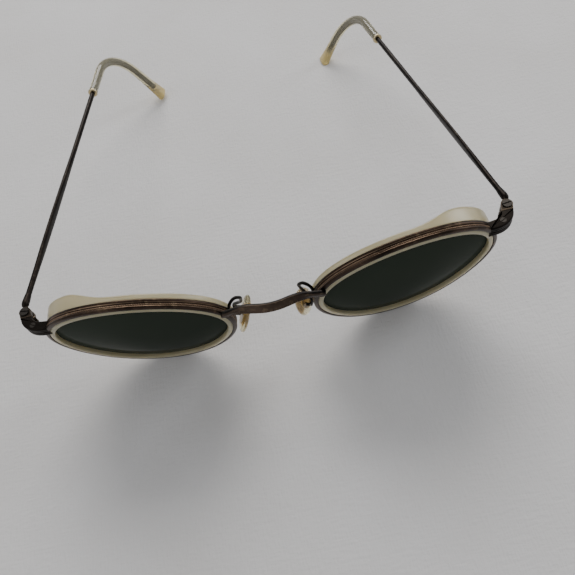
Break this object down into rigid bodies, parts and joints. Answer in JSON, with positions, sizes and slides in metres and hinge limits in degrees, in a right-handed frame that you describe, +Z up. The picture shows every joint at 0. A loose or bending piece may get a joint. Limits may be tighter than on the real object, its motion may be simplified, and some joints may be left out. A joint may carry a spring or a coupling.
{
  "type": "sunglasses",
  "caption": "Round metal-front sunglasses with translucent acetate shield inserts, a flat arched bridge, adjustable nose pads and folding wire temples with clear bent tips.",
  "frame": {"origin": "middle of the glasses' box at the plane they stand on", "axes": "+Z up, -Y the front that faces away from the wearer, +X the wearer's left"},
  "size_m": [0.1315, 0.1326, 0.0446],
  "materials": {
    "rim_metal": "antique bronze, satin",
    "temple_metal": "dark antique bronze, satin",
    "arm_metal": "blackened wire",
    "screw_steel": "dark, slotted",
    "acetate": "translucent champagne, satin",
    "tip_acetate": "clear champagne, polished",
    "lens_tint": "very dark grey-green, polished",
    "pad_clear": "clear champagne",
    "pad_core_metal": "golden"
  },
  "bodies": {
    "front": {"bridge": "rim_metal", "left_closing_screw": "screw_steel", "left_end_piece_lower": "rim_metal", "left_end_piece_upper": "rim_metal", "left_front_hinge": "rim_metal", "left_hinge_screw": "screw_steel", "left_insert": "acetate", "left_lens": "lens_tint", "left_pad_arm": "arm_metal", "left_pad_box": "arm_metal", "left_pad_screw": "screw_steel", "left_rim": "rim_metal", "right_closing_screw": "screw_steel", "right_end_piece_lower": "rim_metal", "right_end_piece_upper": "rim_metal", "right_front_hinge": "rim_metal", "right_hinge_screw": "screw_steel", "right_insert": "acetate", "right_lens": "lens_tint", "right_pad_arm": "arm_metal", "right_pad_box": "arm_metal", "right_pad_screw": "screw_steel", "right_rim": "rim_metal"},
    "left_temple_body": {"left_temple_hinge": "rim_metal", "left_temple": "temple_metal", "left_temple_tip": "tip_acetate"},
    "left_pad_body": {"left_nose_pad": "pad_clear", "left_pad_core": "pad_core_metal"},
    "right_temple_body": {"right_temple_hinge": "rim_metal", "right_temple": "temple_metal", "right_temple_tip": "tip_acetate"},
    "right_pad_body": {"right_nose_pad": "pad_clear", "right_pad_core": "pad_core_metal"}
  },
  "joints": [
    {"name": "left_temple_fold", "type": "hinge", "parent": "front", "child": "left_temple_body", "pos_m": [0.06385, -0.05272, 0.03393], "axis": [0, 0, 1], "range_deg": [0, 74]},
    {"name": "right_temple_fold", "type": "hinge", "parent": "front", "child": "right_temple_body", "pos_m": [-0.06385, -0.05272, 0.03393], "axis": [0, 0, -1], "range_deg": [0, 72]},
    {"name": "left_pad_rock", "type": "hinge", "parent": "front", "child": "left_pad_body", "pos_m": [0.00945, -0.05846, 0.01913], "axis": [0.4529, 0.8493, 0.2713], "range_deg": [-8, 8]},
    {"name": "right_pad_rock", "type": "hinge", "parent": "front", "child": "right_pad_body", "pos_m": [-0.01024, -0.05607, 0.01863], "axis": [-0.0483, 0.9668, -0.2509], "range_deg": [-8, 8]}
  ]
}
